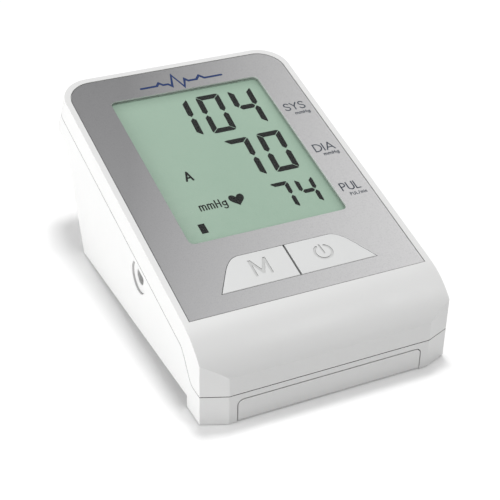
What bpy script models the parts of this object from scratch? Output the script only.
# Upper arm blood pressure monitor: a desk unit with a sloping face plate, a
# recessed display, two face keys, an air socket in the left wall and a battery
# cover that wraps from the front wall under the case.
# Frame: +X right, +Y back, +Z up, origin under the middle of the bounding box.
# All sizes below are millimetres; MM turns them into metres.

import math
import bpy
import bmesh
from mathutils import Matrix, Vector

MM = 0.001
NAME = "upper_arm_blood_pressure_monitor"

# ---- overall case -----------------------------------------------------------
WIDTH = 100.0                 # side wall to side wall
HALF = WIDTH / 2
DEPTH = 159.328                 # front wall to the rear lip
WALL = 2.2                    # moulded wall
GAP = 0.3                     # clearance between touching pieces
TILT = math.radians(13.96)    # slope of the face plate
PLATE_Y, PLATE_Z = 18.32, 34.45   # front edge of the sloping face
FRONT_CREASE_Z = 20.2         # front wall is vertical up to here
BROW_R = 29.0                 # convex curve from front wall to face
CHAMFER_X, CHAMFER_Y = 40.4, 3.79
REAR_T = 135.6                # rear edge of the rim, along the slope
REAR_LEAN = 0.30              # rear wall runs back by this per mm of depth
CORNER_R = 12.6               # rear plan corners
LIP_D = 20.3                  # depth of the overhanging slab below the face
SEAM_D = 10.9                 # depth of the parting line below the face
SEAM_Z = 12.5                 # parting line on the front wall
GROUND = 0.4                  # moulded case stands this far off the table
FOOT_Y, FOOT_Z = 15.0, 5.2    # front foot length and step height
REAR_Y = 125.2                # rear bottom edge
REAR_BACK = math.radians(20.3)

# ---- face plate, display, keys ---------------------------------------------
PLATE_S, PLATE_T, PLATE_R = 47.35, 133.0, 10.6
PLATE_TOP, PLATE_BOTTOM = 0.15, 0.60
POCKET_D = 0.90               # floor of the pocket that holds the plate
DECK_D = 3.4                  # underside of the case's top deck
WIN_S, WIN_T0, WIN_T1, WIN_R = 32.8, 34.2, 118.8, 2.3
LENS_S, LENS_T0, LENS_T1 = 35.0, 32.1, 120.9
LENS_D0, LENS_D1 = 0.90, 1.20
LCD_S, LCD_T0, LCD_T1 = 33.6, 33.5, 119.5
LCD_D0, LCD_D1 = 1.50, 3.70
HOLDER_D0, HOLDER_D1 = 4.25, 6.9
PCB_S, PCB_T0, PCB_T1 = 38.0, 4.0, 129.0
PCB_D0, PCB_D1 = 7.3, 8.9
KEY_T0, KEY_T1 = 8.1, 23.75
KEY_IN, KEY_OUT, KEY_TOP_OUT = 0.75, 31.45, 22.3
KEY_TRAVEL = 0.6

# ---- battery bay ------------------------------------------------------------
CELL_R, CELL_L = 7.25, 50.5
CELL_PITCH, CELL_Y0, CELL_Z = 15.2, 7.6, 14.95
COVER_X, COVER_TOP, COVER_Y1 = 37.0, 9.75, 67.5
COVER_T = 1.8
COVER_R = 2.2                 # top corners of the cover's front lip

# ---- air path ---------------------------------------------------------------
PORT_Y, PORT_Z, PORT_R, PORT_BORE = 60.4, 27.6, 6.6, 3.1
PORT_TOP = 2.2                                   # strip of wall left between the socket seat and the parting line
PUMP_Y, PUMP_Z, PUMP_R = 92.0, 19.0, 12.0

# ---- set up -----------------------------------------------------------------
for ob in list(bpy.data.objects):
    bpy.data.objects.remove(ob, do_unlink=True)
for col in list(bpy.data.collections):
    bpy.data.collections.remove(col)

parts = bpy.data.collections.new(NAME)
cutters = bpy.data.collections.new("cutters")
bpy.context.scene.collection.children.link(parts)
bpy.context.scene.collection.children.link(cutters)


def material(name, rgb, rough, metal=0.0, alpha=1.0):
    m = bpy.data.materials.new(name)
    m.use_nodes = True
    b = m.node_tree.nodes["Principled BSDF"]
    b.inputs["Base Color"].default_value = (*rgb, 1.0)
    b.inputs["Roughness"].default_value = rough
    b.inputs["Metallic"].default_value = metal
    b.inputs["Alpha"].default_value = alpha
    m.diffuse_color = (*rgb, 1.0)
    return m


COLOURS = {
    "case_white": ((0.86, 0.87, 0.87), 0.38, 0.0),
    "plate_silver": ((0.42, 0.42, 0.43), 0.42, 0.6),
    "lens_clear": ((0.90, 0.95, 0.92), 0.08, 0.0),
    "lcd_green": ((0.35, 0.48, 0.38), 0.25, 0.0),
    "key_grey": ((0.70, 0.72, 0.71), 0.40, 0.0),
    "holder_black": ((0.03, 0.03, 0.03), 0.50, 0.0),
    "board_green": ((0.03, 0.16, 0.07), 0.40, 0.0),
    "motor_steel": ((0.55, 0.55, 0.56), 0.30, 1.0),
    "spring_steel": ((0.70, 0.70, 0.70), 0.25, 1.0),
    "screw_steel": ((0.45, 0.45, 0.47), 0.30, 1.0),
    "tube_silicone": ((0.75, 0.76, 0.74), 0.35, 0.0),
    "rubber_grey": ((0.12, 0.12, 0.13), 0.75, 0.0),
    "cell_wrap": ((0.10, 0.13, 0.20), 0.30, 0.2),
    "moulding_black": ((0.06, 0.06, 0.07), 0.45, 0.0),
    "wire_red": ((0.50, 0.03, 0.03), 0.45, 0.0),
    "wire_black": ((0.02, 0.02, 0.02), 0.45, 0.0),
}
MATS = {}


def paint(ob, key):
    m = material(ob.name + "_" + key, *COLOURS[key])
    ob.data.materials.clear()
    ob.data.materials.append(m)
    return ob


# ---- empties: the case frame and the sloping face frame ----------------------
case = bpy.data.objects.new("case_frame", None)
case.location = (0, -DEPTH / 2 * MM, 0)
parts.objects.link(case)
face = bpy.data.objects.new("face_frame", None)
face.parent = case
face.location = (0, PLATE_Y * MM, PLATE_Z * MM)
face.rotation_euler = (TILT, 0, 0)
parts.objects.link(face)


def world(y, z, x=0.0):
    return Vector((x, y, z))


def slope(t, d, s=0.0):
    """Case coordinates of a point t along the face and d below it."""
    return Vector((s, PLATE_Y + t * math.cos(TILT) + d * math.sin(TILT),
                   PLATE_Z + t * math.sin(TILT) - d * math.cos(TILT)))


def place(ob, parent, key=None, cutter=False):
    ob.parent = parent
    if cutter:
        cutters.objects.link(ob)
        ob.hide_render = True
        ob.display_type = "WIRE"
    else:
        parts.objects.link(ob)
        paint(ob, key)
    return ob


def mesh_object(name, bm, parent, key=None, cutter=False, loc=(0, 0, 0)):
    """Object from a bmesh given in millimetres in its parent's frame."""
    bmesh.ops.translate(bm, vec=[-c for c in loc], verts=bm.verts)
    bmesh.ops.scale(bm, vec=(MM, MM, MM), verts=bm.verts)
    bmesh.ops.recalc_face_normals(bm, faces=bm.faces)
    me = bpy.data.meshes.new(name)
    bm.to_mesh(me)
    bm.free()
    ob = bpy.data.objects.new(name, me)
    ob.location = Vector(loc) * MM
    return place(ob, parent, key, cutter)


def box(name, lo, hi, parent, key=None, cutter=False, loc=None):
    bm = bmesh.new()
    bmesh.ops.create_cube(bm, size=1.0)
    lo, hi = Vector(lo), Vector(hi)
    bmesh.ops.scale(bm, vec=hi - lo, verts=bm.verts)
    bmesh.ops.translate(bm, vec=(lo + hi) / 2, verts=bm.verts)
    return mesh_object(name, bm, parent, key, cutter, loc or (lo + hi) / 2)


def rod(name, p0, p1, r, parent, key=None, cutter=False, seg=24, r2=None):
    p0, p1 = Vector(p0), Vector(p1)
    axis = p1 - p0
    bm = bmesh.new()
    bmesh.ops.create_cone(bm, cap_ends=True, segments=seg, radius1=r,
                          radius2=r if r2 is None else r2, depth=axis.length)
    q = Vector((0, 0, 1)).rotation_difference(axis.normalized())
    bmesh.ops.rotate(bm, cent=(0, 0, 0), matrix=q.to_matrix(), verts=bm.verts)
    bmesh.ops.translate(bm, vec=(p0 + p1) / 2, verts=bm.verts)
    ob = mesh_object(name, bm, parent, key, cutter, (p0 + p1) / 2)
    ob.data.shade_smooth()
    ob.data.set_sharp_from_angle(angle=math.radians(40))
    return ob


def turned(name, profile, p0, direction, parent, key, steps=24):
    """Revolve (radius, height) pairs, listed from the top down, about an axis."""
    me = bpy.data.meshes.new(name)
    bm = bmesh.new()
    vs = [bm.verts.new((r * MM, 0, h * MM)) for r, h in profile]
    for a, b in zip(vs, vs[1:]):
        bm.edges.new((a, b))
    bm.to_mesh(me)
    bm.free()
    ob = bpy.data.objects.new(name, me)
    place(ob, parent, key)
    ob.location = Vector(p0) * MM
    ob.rotation_euler = Vector((0, 0, 1)).rotation_difference(
        Vector(direction).normalized()).to_euler()
    sc = ob.modifiers.new("turn", "SCREW")
    sc.steps = sc.render_steps = steps
    sc.use_merge_vertices = True
    sc.merge_threshold = 0.00001
    sc.use_normal_calculate = True
    return ob


def outline(name, pts, lo, hi, parent, key=None, cutter=False, turn=None,
            shear=0.0, loc=(0, 0, 0)):
    """Flat outline, filled and extruded from lo to hi along its own +Z."""
    cu = bpy.data.curves.new(name, "CURVE")
    cu.dimensions = "2D"
    cu.fill_mode = "BOTH"
    cu.extrude = (hi - lo) / 2 * MM
    sp = cu.splines.new("POLY")
    sp.points.add(len(pts) - 1)
    for p, q in zip(sp.points, pts):
        p.co = (q[0] * MM, q[1] * MM, 0, 1)
    sp.use_cyclic_u = True
    tmp = bpy.data.objects.new(name + "_outline", cu)
    bpy.context.scene.collection.objects.link(tmp)
    bpy.context.view_layer.update()
    me = bpy.data.meshes.new_from_object(
        tmp.evaluated_get(bpy.context.evaluated_depsgraph_get()))
    bpy.data.objects.remove(tmp, do_unlink=True)
    bm = bmesh.new()
    bm.from_mesh(me)
    bmesh.ops.remove_doubles(bm, verts=bm.verts, dist=1e-7)
    bmesh.ops.dissolve_limit(bm, angle_limit=0.001, verts=bm.verts, edges=bm.edges)
    bmesh.ops.translate(bm, vec=(0, 0, (lo + hi) / 2 * MM), verts=bm.verts)
    if shear:
        for v in bm.verts:
            v.co.y -= shear * v.co.z
    if turn is not None:
        bmesh.ops.transform(bm, matrix=turn, verts=bm.verts)
    bmesh.ops.translate(bm, vec=[-c * MM for c in loc], verts=bm.verts)
    bmesh.ops.recalc_face_normals(bm, faces=bm.faces)
    bm.to_mesh(me)
    bm.free()
    me.name = name
    ob = bpy.data.objects.new(name, me)
    ob.location = Vector(loc) * MM
    return place(ob, parent, key, cutter)


# side profiles are drawn as (y, z) and extruded along X
SIDE = Matrix(((0, 0, 1, 0), (1, 0, 0, 0), (0, 1, 0, 0), (0, 0, 0, 1)))


def boolean(ob, other, how="DIFFERENCE"):
    m = ob.modifiers.new(how.lower() + "_" + other.name, "BOOLEAN")
    m.operation = how
    m.object = other
    m.solver = "EXACT"
    return ob


def arc(cx, cy, r, a0, a1, n):
    out = []
    for i in range(n + 1):
        a = math.radians(a0 + (a1 - a0) * i / n)
        out.append((cx + r * math.cos(a), cy + r * math.sin(a)))
    return out


def rounded(x0, y0, x1, y1, r, n=5):
    return (arc(x1 - r, y0 + r, r, -90, 0, n) + arc(x1 - r, y1 - r, r, 0, 90, n)
            + arc(x0 + r, y1 - r, r, 90, 180, n) + arc(x0 + r, y0 + r, r, 180, 270, n))


def tube(name, pts, r, key, n=22):
    """Round tube on a smooth curve through the route's points."""
    pts = [Vector(p) for p in pts]
    ext = [2 * pts[0] - pts[1]] + pts + [2 * pts[-1] - pts[-2]]
    dense = []
    for i in range(1, len(ext) - 2):
        a, b, c, d = ext[i - 1:i + 3]
        for k in range(12):
            u = k / 12
            dense.append(0.5 * ((2 * b) + (c - a) * u + (2 * a - 5 * b + 4 * c - d) * u * u
                                + (3 * b - a - 3 * c + d) * u ** 3))
    dense.append(pts[-1])
    total = sum((q - p).length for p, q in zip(dense, dense[1:]))
    route, run, want = [dense[0]], 0.0, total / n
    for p, q in zip(dense, dense[1:]):
        run += (q - p).length
        while run >= want - 1e-6 and len(route) < n:
            route.append(q)
            run -= want
    route.append(dense[-1])
    cu = bpy.data.curves.new(name, "CURVE")
    cu.dimensions = "3D"
    cu.bevel_depth = r * MM
    cu.bevel_resolution = 2
    cu.use_fill_caps = True
    sp = cu.splines.new("POLY")
    sp.points.add(len(route) - 1)
    for p, q in zip(sp.points, route):
        p.co = (*(q * MM), 1)
    ob = bpy.data.objects.new(name, cu)
    return place(ob, case, key)


# ============================ case shells ====================================
def offset_slope(inset, t, d):
    v = slope(t, d)
    return (v.y, v.z)


def brow(inset, n=7):
    """Arc from the front wall over to the face, inset from the outer skin."""
    cy = PLATE_Y + BROW_R * math.sin(TILT)
    cz = PLATE_Z - BROW_R * math.cos(TILT)
    a1 = 90 + math.degrees(TILT)
    return [(y, z) for y, z in arc(cy, cz, BROW_R - inset, 148, a1, n)]


def seam(side):
    """Parting line from front to rear; side is +1 for its upper face."""
    h = side * GAP / 2
    y0, y1 = 9.5, 21.5
    z1 = slope(0, SEAM_D).z + (y1 - slope(0, SEAM_D).y) * math.tan(TILT)
    pts = [(0.0, SEAM_Z + h)]
    for i in range(9):
        u = i / 8
        y = y0 + (y1 - y0) * u
        s = u * u * (3 - 2 * u)
        z = SEAM_Z + (z1 - SEAM_Z) * s
        # the offset turns towards the front where the line is steep
        k = 6 * u * (1 - u) * (z1 - SEAM_Z) / (y1 - y0)
        m = math.hypot(1, k)
        pts.append((y - h * k / m, z + h / m))
    v = slope(REAR_T + REAR_LEAN * SEAM_D, SEAM_D - h)
    pts.append((v.y, v.z))
    return pts


def corner_cutter(name, inset, sign, d0=-6.0, d1=LIP_D + 0.6):
    r = CORNER_R - inset
    cx, ct = HALF - CORNER_R, REAR_T - CORNER_R
    pts = arc(cx, ct, r, 2, 90, 8)
    pts = pts + [(cx, ct + 60), (cx + 60, ct + 60), (cx + 60, pts[0][1])]
    pts = [(sign * x, y) for x, y in pts]
    return outline(name, pts, -d1, -d0, face, cutter=True, shear=REAR_LEAN)


def chamfer_cutter(name, inset, sign):
    dx, dy = HALF - CHAMFER_X, CHAMFER_Y
    n = Vector((dy, -dx)).normalized() * inset
    ax, ay = CHAMFER_X - n.x, 0 - n.y
    u = Vector((dx, dy)).normalized()
    p, q = (ax - 60 * u.x, ay - 60 * u.y), (ax + 60 * u.x, ay + 60 * u.y)
    far = Vector((dy, -dx)).normalized() * 60
    pts = [p, q, (q[0] + far.x, q[1] + far.y), (p[0] + far.x, p[1] + far.y)]
    return outline(name, [(sign * x, y) for x, y in pts], -10, 80, case, cutter=True)


corners_out = [corner_cutter("corner_out_%d" % i, 0, s) for i, s in enumerate((-1, 1))]
corners_in = [corner_cutter("corner_in_%d" % i, WALL, s, -20, 60) for i, s in enumerate((-1, 1))]
chamfers_out = [chamfer_cutter("chamfer_out_%d" % i, 0, s) for i, s in enumerate((-1, 1))]
chamfers_in = [chamfer_cutter("chamfer_in_%d" % i, WALL, s) for i, s in enumerate((-1, 1))]

# upper case: outer skin
rim = slope(REAR_T - 0.7, 0), slope(REAR_T - 0.1, 0.25), slope(REAR_T + 0.25, 0.9)
upper_profile = ([(0.0, SEAM_Z + GAP / 2), (0.0, FRONT_CREASE_Z)] + brow(0)
                 + [(v.y, v.z) for v in rim] + list(reversed(seam(+1)))[:-1])
upper = outline("upper_case", upper_profile, -HALF, HALF, case, "case_white", turn=SIDE)
for c in corners_out + chamfers_out:
    boolean(upper, c)

# upper case: hollow
back_in = REAR_T - WALL
v0 = slope(back_in + REAR_LEAN * DECK_D, DECK_D)
v1 = slope(back_in + REAR_LEAN * 40, 40)
f0 = slope(2.2, DECK_D)
upper_hollow = outline("upper_hollow", [(WALL, -8), (WALL, FRONT_CREASE_Z)] + brow(WALL)[:-2]
                       + [(f0.y, f0.z), (v0.y, v0.z), (v1.y, v1.z), (v1.y, -8)],
                       -HALF + WALL, HALF - WALL, case, cutter=True, turn=SIDE)
for c in corners_in + chamfers_in:
    boolean(upper_hollow, c)
boolean(upper, upper_hollow)

# pocket for the plate, pocket for the lens, openings for display and keys
plate_pts = ([(-PLATE_S, 0), (PLATE_S, 0)] + arc(PLATE_S - PLATE_R, PLATE_T - PLATE_R, PLATE_R, 0, 90, 8)
             + arc(-PLATE_S + PLATE_R, PLATE_T - PLATE_R, PLATE_R, 90, 180, 8))
g = GAP
pocket_pts = ([(-PLATE_S - g, -g), (PLATE_S + g, -g)]
              + arc(PLATE_S - PLATE_R, PLATE_T - PLATE_R, PLATE_R + g, 0, 90, 8)
              + arc(-PLATE_S + PLATE_R, PLATE_T - PLATE_R, PLATE_R + g, 90, 180, 8))
boolean(upper, outline("plate_pocket", pocket_pts, -POCKET_D, 5, face, cutter=True))
boolean(upper, outline("lens_pocket", rounded(-LENS_S - g, LENS_T0 - g, LENS_S + g, LENS_T1 + g, 2.5),
                       -LENS_D1 - g, 5, face, cutter=True))
boolean(upper, outline("display_opening", rounded(-LCD_S - g, LCD_T0 - g, LCD_S + g, LCD_T1 + g, 1.0, 2),
                       -8, 5, face, cutter=True))


def key_outline(sign, grow=0.0):
    """Key face: square inner end, long slanted outer edge with a rounded top."""
    x0, x1, xt = KEY_IN - grow, KEY_OUT + 1.35 * grow, KEY_TOP_OUT + 0.45 * grow
    t0, t1 = KEY_T0 - grow, KEY_T1 + grow
    slant = Vector((xt - x1, t1 - t0)).normalized()
    a = Vector((x1, t0)) + slant * 11.0
    b = Vector((xt - 3.6, t1))
    tip = Vector((xt, t1))
    bend = []
    for i in range(7):
        u = i / 6
        bend.append(tuple((1 - u) ** 2 * a + 2 * u * (1 - u) * tip + u * u * b))
    pts = [(x0, t0), (x1, t0)] + bend + [(x0, t1)]
    return [(sign * x, t) for x, t in pts]


def both_keys(grow):
    right = key_outline(1, grow)[1:-1]
    return right + [(-x, t) for x, t in reversed(right)]


boolean(upper, outline("key_opening", both_keys(0.35), -8, 5, face, cutter=True))

# bosses for the board's screws and for the case screws
BOARD_SCREWS = [(-34.5, 27.4), (34.5, 27.4), (-34.5, 125.6), (34.5, 125.6)]
CASE_SCREWS = [(-43.3, 27.0), (43.3, 27.0), (-43.3, 108.0), (43.3, 108.0)]
for i, (s, t) in enumerate(BOARD_SCREWS):
    boolean(upper, rod("board_boss_%d" % i, (s, t, -DECK_D + 0.8), (s, t, -PCB_D0 + g), 2.5, face, cutter=True, seg=16), "UNION")
    boolean(upper, rod("board_bore_%d" % i, (s, t, -PCB_D0 - 1), (s, t, -3.3), 1.4, face, cutter=True, seg=12))
for i, (x, y) in enumerate(CASE_SCREWS):
    top = PLATE_Z + (y - PLATE_Y) * math.tan(TILT) - 3.2
    foot = top - 13.5
    boolean(upper, rod("case_boss_%d" % i, (x, y, top), (x, y, foot), 3.4, case, cutter=True, seg=16), "UNION")
    boolean(upper, rod("case_bore_%d" % i, (x, y, foot - 1), (x, y, foot + 9), 1.6, case, cutter=True, seg=12))

# lower case: outer skin with the overhanging slab
lipv = slope(0, LIP_D)
k_back = math.tan(REAR_BACK)
# where the leaning rear wall meets the underside of the lip
zi = (lipv.z + (REAR_Y - lipv.y - GROUND * k_back) * math.tan(TILT)) / (1 - k_back * math.tan(TILT))
yi = REAR_Y + (zi - GROUND) * k_back
nose = [slope(t, d) for t, d in ((138.1, LIP_D), (139.5, 19.95), (140.4, 19.1), (140.85, 17.9), (140.75, 16.9))]
lower_profile = ([(0.0, SEAM_Z - GAP / 2), (0.0, 1.6), (0.35, 0.8), (1.2, GROUND), (FOOT_Y, GROUND), (FOOT_Y, FOOT_Z),
                  (REAR_Y - 0.8, GROUND + 0.05), (REAR_Y - 0.1, GROUND + 0.3), (yi, zi)]
                 + [(v.y, v.z) for v in nose] + list(reversed(seam(-1)))[:-1])
lower = outline("lower_case", lower_profile, -HALF, HALF, case, "case_white", turn=SIDE)
for c in corners_out + chamfers_out:
    boolean(lower, c)

floor_k = (GROUND - FOOT_Z) / (REAR_Y - FOOT_Y)


def floor_z(y):
    """Inner floor height of the lower case behind the front foot."""
    return FOOT_Z + floor_k * (y - FOOT_Y) + WALL


w2, w3 = slope(back_in + REAR_LEAN * 18 - 0.4, LIP_D - WALL), slope(back_in, 0)
ri = REAR_Y - WALL * 1.07
lower_hollow = outline("lower_hollow", [(WALL, 80), (WALL, GROUND + WALL), (FOOT_Y - WALL, GROUND + WALL), (FOOT_Y - WALL, floor_z(FOOT_Y)),
                        (FOOT_Y, floor_z(FOOT_Y)), (ri, floor_z(ri)), (yi - WALL * 1.1, zi + WALL), (w2.y, w2.z), (w3.y, w3.z), (w3.y, 80)],
                       -HALF + WALL, HALF - WALL, case, cutter=True, turn=SIDE)
for c in corners_in + chamfers_in:
    boolean(lower_hollow, c)
boolean(lower, lower_hollow)

# guide rails beside the cover, then the opening for the cover itself
for i, sgn in enumerate((-1, 1)):
    a, b = sorted((sgn * (COVER_X + 0.1), sgn * (COVER_X + 1.9)))
    boolean(lower, box("rail_%d" % i, (a, 1.5, 3.0), (b, COVER_Y1 + 2, 8.6), case, cutter=True), "UNION")
    boolean(lower, outline("rail_trim_%d" % i, [(FOOT_Y, -2), (FOOT_Y, FOOT_Z), (COVER_Y1 + 9, FOOT_Z + floor_k * (COVER_Y1 + 9 - FOOT_Y)), (COVER_Y1 + 9, -2)],
                           sgn * 38 - 8, sgn * 38 + 8, case, cutter=True, turn=SIDE))
# front outlines are drawn as (x, z) and extruded along -Y
FRONT = Matrix(((1, 0, 0, 0), (0, 0, -1, 0), (0, 1, 0, 0), (0, 0, 0, 1)))


def cover_front(grow):
    """Front outline of the cover, with rounded top corners."""
    x, z, r = COVER_X + grow, COVER_TOP + grow, COVER_R + grow
    return [(-x, -3), (x, -3)] + arc(x - r, z - r, r, 0, 90, 6) + arc(-x + r, z - r, r, 90, 180, 6)


boolean(lower, outline("cover_opening", cover_front(g), -COVER_Y1 - g, 2, case, cutter=True, turn=FRONT))

# seat for the air socket: round, with a straight top below the parting line
def port_top(name, below, x0, x1):
    p = slope(0, SEAM_D + PORT_TOP + below)
    return outline(name, [(p.y, p.z), (p.y + 110 * math.cos(TILT), p.z + 110 * math.sin(TILT)),
                          (p.y + 110, p.z + 70), (p.y, p.z + 70)], x0, x1, case, cutter=True, turn=SIDE)


port_seat = rod("port_seat", (-60, PORT_Y, PORT_Z), (-40, PORT_Y, PORT_Z), PORT_R, case, cutter=True, seg=36)
boolean(port_seat, port_top("port_seat_top", 0, -70, -30))
boolean(lower, port_seat)

# case screw posts
for i, (x, y) in enumerate(CASE_SCREWS):
    top = PLATE_Z + (y - PLATE_Y) * math.tan(TILT) - 3.2 - 13.5 - g
    boolean(lower, rod("post_%d" % i, (x, y, floor_z(y) - 1.2), (x, y, top), 4.3, case, cutter=True, seg=20), "UNION")
    boolean(lower, rod("post_well_%d" % i, (x, y, -2), (x, y, top - 3.2), 3.3, case, cutter=True, seg=20))
    boolean(lower, rod("post_hole_%d" % i, (x, y, -2), (x, y, top + 2), 1.9, case, cutter=True, seg=16))

# ============================ face ===========================================
plate = outline("face_plate", plate_pts, -PLATE_BOTTOM, -PLATE_TOP, face, "plate_silver")
boolean(plate, outline("plate_window", rounded(-WIN_S, WIN_T0, WIN_S, WIN_T1, WIN_R), -5, 5, face, cutter=True))
boolean(plate, outline("plate_keys", both_keys(0.35), -5, 5, face, cutter=True))

outline("display_window", rounded(-LENS_S, LENS_T0, LENS_S, LENS_T1, 2.2), -LENS_D1, -LENS_D0, face, "lens_clear")
outline("lcd_glass", rounded(-LCD_S, LCD_T0, LCD_S, LCD_T1, 0.8, 2), -LCD_D1, -LCD_D0, face, "lcd_green")
holder = outline("lcd_holder", rounded(-35.8, 30.9, 35.8, 122.2, 2.0, 3), -HOLDER_D1, -HOLDER_D0, face, "holder_black")
boolean(holder, outline("holder_window", rounded(-31.5, 39.5, 31.5, 117.5, 1.5, 2), -HOLDER_D1 + 1.0, 5, face, cutter=True))
boolean(holder, outline("strip_slot", rounded(-29.0, 34.4, 29.0, 37.8, 0.6, 2), -12, 5, face, cutter=True))
outline("zebra_strip", rounded(-28.6, 34.8, 28.6, 37.4, 0.4, 2), -PCB_D0 + g, -HOLDER_D0, face, "rubber_grey")
board = outline("main_board", rounded(-PCB_S, PCB_T0, PCB_S, PCB_T1, 1.5, 2), -PCB_D1, -PCB_D0, face, "board_green")
for i, (s, t) in enumerate(BOARD_SCREWS):
    boolean(board, rod("board_hole_%d" % i, (s, t, -15), (s, t, 0), 1.5, face, cutter=True, seg=12))
    turned("board_screw_%d" % (i + 1), [(0, 5.0), (1.05, 4.7), (1.05, 0.0), (2.2, 0.0), (2.2, -0.9), (1.5, -1.3), (0, -1.4)],
           (s, t, -PCB_D1 - g), (0, 0, 1), face, "screw_steel", 12)

KEY_MID = (KEY_OUT + KEY_IN) / 2 - 1.8
KEY_T = (KEY_T0 + KEY_T1) / 2
for label, sgn in (("memory", -1), ("power", 1)):
    at = (sgn * KEY_MID, KEY_T, -PLATE_TOP)
    key = outline(label + "_button", key_outline(sgn), -3.9, -PLATE_TOP, face, "key_grey", loc=at)
    x0, x1 = sorted((sgn * (KEY_IN + 0.3), sgn * (KEY_OUT + 1.2)))
    flange = outline(label + "_flange", rounded(x0, KEY_T0 - 1.6, x1, KEY_T1 + 1.6, 1.0, 2), -4.3, -3.7, face, cutter=True)
    boolean(key, flange, "UNION")
    sw = box(label + "_switch", (at[0] - 3.1, KEY_T - 3.1, -PCB_D0 + g), (at[0] + 3.1, KEY_T + 3.1, -5.2), face, "moulding_black")
    boolean(sw, rod(label + "_switch_bore", (at[0], KEY_T, -6.85), (at[0], KEY_T, -2), 1.95, face, cutter=True, seg=20))
    rod(label + "_plunger", (at[0], KEY_T, -6.05), (at[0], KEY_T, -4.6), 1.6, face, "moulding_black", seg=20)

# ============================ air path =======================================
jack = turned("air_jack", [(3.1, 0.0), (3.1, -13.0), (1.2, -13.6), (1.2, -18.2), (2.1, -18.2), (2.1, -15.2), (4.6, -14.2),
                           (4.6, -2.6), (6.3, -2.6), (6.3, 0.0)][::-1] + [(6.3, 0.0)][:0],
              (-HALF + 0.7, PORT_Y, PORT_Z), (-1, 0, 0), case, "case_white", 32)
# close the turned section: outer top edge back to the bore
me = jack.data
bm = bmesh.new()
bm.from_mesh(me)
bm.verts.ensure_lookup_table()
bm.edges.new((bm.verts[0], bm.verts[len(bm.verts) - 1]))
bm.to_mesh(me)
bm.free()
boolean(jack, port_top("jack_trim", GAP, -60, -HALF + 3.6))

rod_y, rod_z = PUMP_Y, PUMP_Z
motor = rod("pump_motor", (-8, rod_y, rod_z), (30, rod_y, rod_z), PUMP_R, case, "motor_steel", seg=32)
boolean(motor, rod("motor_bore", (-12, rod_y, rod_z), (-4.5, rod_y, rod_z), 2.4, case, cutter=True, seg=16))
head = outline("pump_head", rounded(rod_y - 12, rod_z - 12, rod_y + 12, rod_z + 12, 3.0, 4), -33, -14.2, case, "moulding_black", turn=SIDE)
boolean(head, rod("head_bore", (-17.5, rod_y, rod_z), (-10, rod_y, rod_z), 2.4, case, cutter=True, seg=16))
boolean(head, rod("head_nozzle", (-37, rod_y, 25), (-32, rod_y, 25), 1.6, case, cutter=True, seg=16), "UNION")
shaft = rod("motor_shaft", (-17.1, rod_y, rod_z), (-4.9, rod_y, rod_z), 2.0, case, "screw_steel", seg=16)
boolean(shaft, rod("shaft_eccentric", (-13.4, rod_y, rod_z + 1.2), (-8.9, rod_y, rod_z + 1.2), 5.2, case, cutter=True, seg=24), "UNION")
cradle = box("pump_cradle", (2, rod_y - 11, floor_z(rod_y - 11) + g), (25, rod_y + 11, 13.5), case, "rubber_grey")
boolean(cradle, rod("cradle_bed", (-2, rod_y, rod_z), (30, rod_y, rod_z), PUMP_R + g, case, cutter=True, seg=32))
saddle = box("head_cradle", (-31, rod_y - 9, floor_z(rod_y - 9) + g), (-16, rod_y + 9, rod_z - 12 - g), case, "rubber_grey")

valve = box("valve_body", (-27, 108, 4.4), (-14, 120.5, 20), case, "moulding_black")
boolean(valve, rod("valve_nozzle", (-20.5, 112, 19), (-20.5, 112, 23.2), 1.6, case, cutter=True, seg=16), "UNION")
boolean(valve, rod("valve_bore", (-19, 114.5, 11), (-10, 114.5, 11), 2.3, case, cutter=True, seg=16))
rod("valve_plunger", (-17.2, 114.5, 11), (-12.0, 114.5, 11), 1.9, case, "screw_steel", seg=16)

sx, stt = 5.0, 55.0
sensor = box("pressure_sensor", (sx - 5.5, stt - 5.5, -14.2), (sx + 5.5, stt + 5.5, -PCB_D1 - g), face, "moulding_black")
boolean(sensor, rod("sensor_port", (sx, stt, -16.6), (sx, stt, -13.5), 1.6, face, cutter=True, seg=16), "UNION")

manifold = box("air_manifold", (-22, 71.5, 25.5), (-14, 79.3, 36.5), case, "moulding_black")
boolean(manifold, rod("nozzle_jack", (-18, 69.5, 29.5), (-18, 72.5, 29.5), 1.6, case, cutter=True, seg=16), "UNION")
boolean(manifold, rod("nozzle_pump", (-24, 75.4, 30), (-21.5, 75.4, 30), 1.6, case, cutter=True, seg=16), "UNION")
boolean(manifold, rod("nozzle_valve", (-18, 78.8, 34.2), (-18, 81.3, 34.2), 1.6, case, cutter=True, seg=16), "UNION")
boolean(manifold, rod("nozzle_sensor", (-14.5, 75.4, 28.5), (-12, 75.4, 28.5), 1.6, case, cutter=True, seg=16), "UNION")

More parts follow.
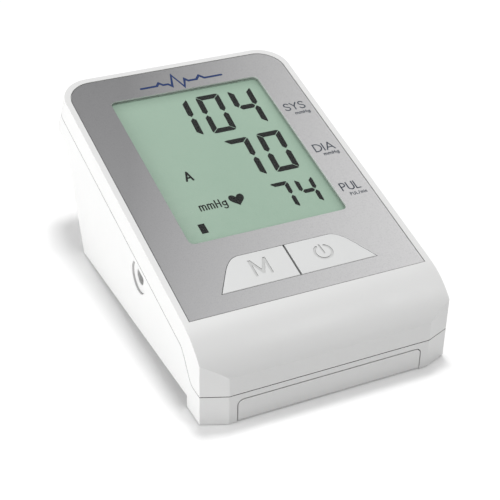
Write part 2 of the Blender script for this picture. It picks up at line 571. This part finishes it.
JX = -HALF + 0.7 + 18.2
tube("jack_tube", [(JX + g, PORT_Y, PORT_Z), (JX + 4, PORT_Y, PORT_Z), (JX + 9.5, PORT_Y + 1.0, PORT_Z + 0.1),
                   (-18.6, PORT_Y + 5, PORT_Z + 0.4), (-18, 67.5, 29.5), (-18, 69.5 - g, 29.5)], 2.0, "tube_silicone")
tube("pump_tube", [(-37 - g, rod_y, 25), (-40, rod_y, 25.3), (-44, 88.5, 26), (-44.6, 83, 27.5), (-41, 77, 29.2), (-33, 75.4, 30), (-24 - g, 75.4, 30)],
     2.0, "tube_silicone", 26)
tube("valve_tube", [(-18, 81.3 + g, 34.2), (-18, 86, 34.3), (-18.6, 95, 34.6), (-19.8, 105, 33.2), (-20.5, 111, 29), (-20.5, 112, 23.2 + g)],
     2.0, "tube_silicone", 26)
se = slope(stt, 16.6 + g)
tube("sensor_tube", [(-12 + g, 75.4, 28.5), (-9, 75.4, 28.3), (-4, 75.4, 26.9), (1.5, 75.5, 25.4), (4.6, 75.9, 27.2), (sx, se.y + 0.2, se.z - 1.6), (sx, se.y, se.z)],
     1.9, "tube_silicone", 24)

# motor leads up to a header on the underside of the board
header = box("motor_header", (28, 72, -14.0), (36, 77, -PCB_D1 - g), face, "tube_silicone")
for n_, dy, key in (("motor_lead_red", -3.2, "wire_red"), ("motor_lead_black", 3.2, "wire_black")):
    e = slope(74.5 + dy * 0.4, 14.0 + g, 32.0)
    tube(n_, [(30 + g, rod_y + dy, 20), (32, rod_y + dy, 20.3), (36, rod_y + dy, 24), (37, rod_y + dy * 0.8 - 1, 30), (34, e.y + 0.8, e.z - 4), (32, e.y, e.z)],
         0.6, key, 16)

# ============================ battery bay ====================================
TX, TY0, TY1, TZ0, TZ1 = 33.0, 3.0, 65.5, 8.0, 24.0
# the front top edge is sloped to clear the inside of the brow
tray = outline("battery_tray", [(TY0, TZ0), (TY1, TZ0), (TY1, TZ1), (TY0 + 5.5, TZ1), (TY0, TZ1 - 4.5)],
               -TX, TX, case, "case_white", turn=SIDE)
boolean(tray, outline("tray_hollow", [(TY0 + 1.3, 0), (TY1 - 1.3, 0), (TY1 - 1.3, TZ1 - 1.4), (TY0 + 6.2, TZ1 - 1.4), (TY0 + 1.3, TZ1 - 5.3)],
                      -TX + 1.3, TX - 1.3, case, cutter=True, turn=SIDE))
for i, x in enumerate((-CELL_PITCH, 0, CELL_PITCH)):
    boolean(tray, box("tray_rib_%d" % i, (x - 0.5, TY0 + 9.0, TZ1 - 4.2), (x + 0.5, TY1 - 0.6, TZ1 - 0.7), case, cutter=True), "UNION")

CELL_X = [-1.5 * CELL_PITCH, -0.5 * CELL_PITCH, 0.5 * CELL_PITCH, 1.5 * CELL_PITCH]
for i, x in enumerate(CELL_X):
    up = 1 if i % 2 else -1          # positive end faces back on even cells
    mid = CELL_Y0 + CELL_L / 2 + 1.0
    h = CELL_L / 2
    turned("battery_cell_%d" % (i + 1), [(0, h), (2.7, h), (2.7, h - 1.3), (6.6, h - 1.4), (CELL_R, h - 2.0), (CELL_R, -h + 0.5), (6.8, -h), (0, -h)],
           (x, mid, CELL_Z), (0, up, 0), case, "cell_wrap", 24)
    # spring at the flat end
    y_flat = mid - up * h
    y_wall = (TY0 + 1.3 + 0.9) if up > 0 else (TY1 - 1.3 - 0.9)
    turns, wire, n = 2.0, 0.35, 26
    a, b = y_wall + up * (wire + g), y_flat - up * (wire + g)
    pts = []
    for k in range(n + 1):
        u = k / n
        ang = 2 * math.pi * turns * u
        r = 3.5 - 0.9 * u
        pts.append(Vector((x + r * math.cos(ang), a + (b - a) * u, CELL_Z + r * math.sin(ang))))
    cu = bpy.data.curves.new("contact_spring_%d" % (i + 1), "CURVE")
    cu.dimensions = "3D"
    cu.bevel_depth = wire * MM
    cu.bevel_resolution = 1
    cu.use_fill_caps = True
    sp = cu.splines.new("POLY")
    sp.points.add(len(pts) - 1)
    for p, q in zip(sp.points, pts):
        p.co = (*(q * MM), 1)
    place(bpy.data.objects.new("contact_spring_%d" % (i + 1), cu), case, "spring_steel")

fy, ry = TY0 + 1.3 + g, TY1 - 1.3 - g
for n_, x0, x1, front in (("contact_link_left", CELL_X[0], CELL_X[1], True), ("contact_link_right", CELL_X[2], CELL_X[3], True),
                          ("contact_link_rear", CELL_X[1], CELL_X[2], False)):
    y0, y1 = (fy, fy + 0.5) if front else (ry - 0.5, ry)
    box(n_, (x0 - 5, y0, CELL_Z - 5), (x1 + 5, y1, CELL_Z + 3.1), case, "spring_steel")
for n_, x in (("contact_tab_left", CELL_X[0]), ("contact_tab_right", CELL_X[3])):
    box(n_, (x - 5, ry - 0.5, CELL_Z - 5), (x + 5, ry, CELL_Z + 3.1), case, "spring_steel")

# cover: front lip, foot and sliding plate in one L-shaped moulding
pz0 = FOOT_Z + floor_k * (COVER_Y1 - FOOT_Y)
cover_pts = [(0.0, COVER_TOP + 3), (0.0, 1.6), (0.35, 0.8), (1.2, GROUND), (FOOT_Y, GROUND), (FOOT_Y, FOOT_Z), (COVER_Y1, pz0),
             (COVER_Y1, pz0 + COVER_T), (FOOT_Y, FOOT_Z + COVER_T), (2.4, FOOT_Z + COVER_T - floor_k * 12.6), (2.4, COVER_TOP + 3)]
cover = outline("battery_cover", cover_pts, -COVER_X - 3, COVER_X + 3, case, "case_white", turn=SIDE, loc=(0, 30, 5))
boolean(cover, outline("cover_trim", cover_front(0), -90, 5, case, cutter=True, turn=FRONT), "INTERSECT")
boolean(cover, box("cover_pocket", (-COVER_X + 2, 2.7, 2.4), (COVER_X - 2, FOOT_Y - 2, 12), case, cutter=True))

# ============================ screws and feet ================================
for i, (x, y) in enumerate(CASE_SCREWS):
    top = PLATE_Z + (y - PLATE_Y) * math.tan(TILT) - 3.2 - 13.5 - g
    seat = top - 3.2 - g
    turned("case_screw_%d" % (i + 1), [(0, 9.5), (1.25, 8.6), (1.25, 0.0), (2.8, 0.0), (2.8, -1.3), (2.0, -2.0), (0, -2.1)],
           (x, y, seat), (0, 0, 1), case, "screw_steel", 16)

FEET = [(-43.6, 9.2, 3.6), (43.6, 9.2, 3.6), (-37.0, 116.5, 5.0), (37.0, 116.5, 5.0)]
for i, (x, y, r) in enumerate(FEET):
    rod("rubber_foot_%d" % (i + 1), (x, y, 0), (x, y, 1.2), r, case, "rubber_grey", seg=24)
    boolean(lower, rod("foot_seat_%d" % i, (x, y, -1), (x, y, 1.2 + g), r + g, case, cutter=True, seg=24))
